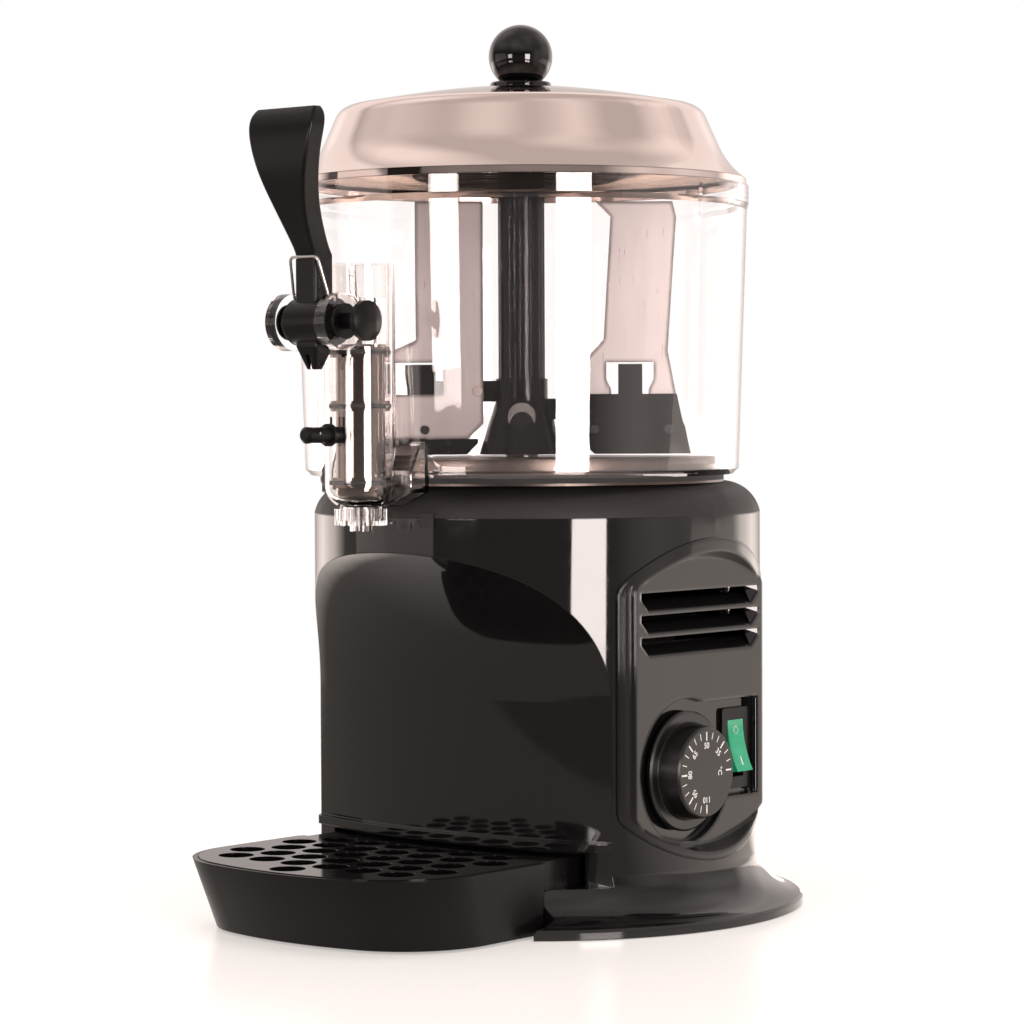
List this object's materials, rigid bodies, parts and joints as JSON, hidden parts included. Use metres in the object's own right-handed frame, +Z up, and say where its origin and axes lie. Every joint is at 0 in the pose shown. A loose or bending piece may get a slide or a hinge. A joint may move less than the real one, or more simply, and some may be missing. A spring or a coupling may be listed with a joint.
{
  "type": "hot drinks dispenser",
  "caption": "Table-top heated drink dispenser: round black base, clear bowl with stirrer under a polished lid, lever tap at the front and a drip tray below it.",
  "frame": {"origin": "on the axis of the round base, at table height", "axes": "+Z up, -Y towards the front with the tap and the drip tray, +X towards the control panel"},
  "size_m": [0.28, 0.345, 0.4613],
  "materials": {
    "gloss_black_casing": "high gloss",
    "matt_black_plastic": "fine matt",
    "satin_black_plastic": "satin",
    "clear_polycarbonate": "clear",
    "polished_stainless": "polished",
    "brushed_stainless": "brushed",
    "galvanised_sheet": "dull",
    "die_cast_case": "as cast",
    "painted_motor_can": "satin",
    "oxide_sheath": "dull",
    "bronze_bush": "machined",
    "black_rubber": "matt",
    "green_rocker": "gloss"
  },
  "bodies": {
    "chassis": {"body_shell": "gloss_black_casing", "base_plate": "galvanised_sheet", "rubber_pads": "black_rubber", "base_screws": "brushed_stainless", "collar_ring": "matt_black_plastic", "boiler_dish": "brushed_stainless", "standpipe": "brushed_stainless", "bowl_gasket": "black_rubber", "boiler_tank": "brushed_stainless", "heating_element": "oxide_sheath", "shaft_bushes": "bronze_bush", "motor_bracket": "galvanised_sheet", "bracket_posts": "brushed_stainless", "gearbox": "die_cast_case", "stirrer_motor": "painted_motor_can", "cable_gland": "matt_black_plastic", "control_panel": "gloss_black_casing", "thermostat_body": "oxide_sheath", "switch_body": "matt_black_plastic"},
    "bowl_unit": {"bowl": "clear_polycarbonate", "tap_housing": "clear_polycarbonate", "nozzle_cap": "clear_polycarbonate", "ear_bushes": "satin_black_plastic"},
    "lid_unit": {"lid": "polished_stainless", "knob_flange": "satin_black_plastic", "lid_knob": "satin_black_plastic", "lid_screw": "brushed_stainless"},
    "stirrer": {"drive_shaft": "brushed_stainless", "stirrer_column": "satin_black_plastic", "stirrer_hub": "satin_black_plastic", "foot_outer": "satin_black_plastic", "foot_inner": "satin_black_plastic", "blade_outer": "brushed_stainless", "blade_inner": "brushed_stainless", "blade_rivets": "brushed_stainless"},
    "lever": {"tap_lever": "satin_black_plastic", "tail_pin": "brushed_stainless", "lever_washers": "satin_black_plastic", "lever_bail": "brushed_stainless"},
    "piston_unit": {"piston": "polished_stainless", "piston_seals": "black_rubber", "tongue_bar": "satin_black_plastic", "tongue_pin": "brushed_stainless"},
    "link": {"link_wire": "brushed_stainless"},
    "pull_pin": {"pivot_pin": "brushed_stainless", "pin_knob": "satin_black_plastic"},
    "dial": {"thermostat_knob": "satin_black_plastic", "thermostat_spindle": "brushed_stainless"},
    "rocker": {"switch_rocker": "green_rocker"},
    "tray": {"drip_tray": "matt_black_plastic"},
    "grid": {"drip_grid": "matt_black_plastic"}
  },
  "joints": [
    {"name": "bowl_lift", "type": "slide", "parent": "chassis", "child": "bowl_unit", "axis": [0, 0, 1], "range_m": [0, 0.16]},
    {"name": "lid_lift", "type": "slide", "parent": "bowl_unit", "child": "lid_unit", "axis": [0, 0, 1], "range_m": [0, 0.12]},
    {"name": "stir", "type": "hinge", "parent": "chassis", "child": "stirrer", "pos_m": [0, -0.0122, 0.3], "axis": [0, 0, 1], "continuous": true},
    {"name": "lever_swing", "type": "hinge", "parent": "bowl_unit", "child": "lever", "pos_m": [0, -0.169, 0.3032], "axis": [1, 0, 0], "range_deg": [0, 30]},
    {"name": "piston_lift", "type": "slide", "parent": "bowl_unit", "child": "piston_unit", "axis": [0, 0, 1], "range_m": [0, 0.00439]},
    {"name": "link_tilt", "type": "hinge", "parent": "piston_unit", "child": "link", "pos_m": [0, -0.169, 0.2486], "axis": [1, 0, 0], "range_deg": [-18, 0]},
    {"name": "pin_pull", "type": "slide", "parent": "bowl_unit", "child": "pull_pin", "axis": [1, 0, 0], "range_m": [0, 0.055]},
    {"name": "dial_turn", "type": "hinge", "parent": "chassis", "child": "dial", "pos_m": [0.11, -0.0122, 0.0765], "axis": [1, 0, 0], "range_deg": [0, 270]},
    {"name": "rocker_tilt", "type": "hinge", "parent": "chassis", "child": "rocker", "pos_m": [0.103, 0.0325, 0.0845], "axis": [0, 1, 0], "range_deg": [0, 28]},
    {"name": "tray_slide", "type": "slide", "parent": "chassis", "child": "tray", "axis": [0, -1, 0], "range_m": [0, 0.13]},
    {"name": "grid_lift", "type": "slide", "parent": "tray", "child": "grid", "axis": [0, 0, 1], "range_m": [0, 0.04]}
  ],
  "couplings": [
    {"joint": "piston_lift", "follows": "lever_swing", "m_per_rad": 0.0083878},
    {"joint": "link_tilt", "follows": "lever_swing", "ratio": -0.59255}
  ]
}
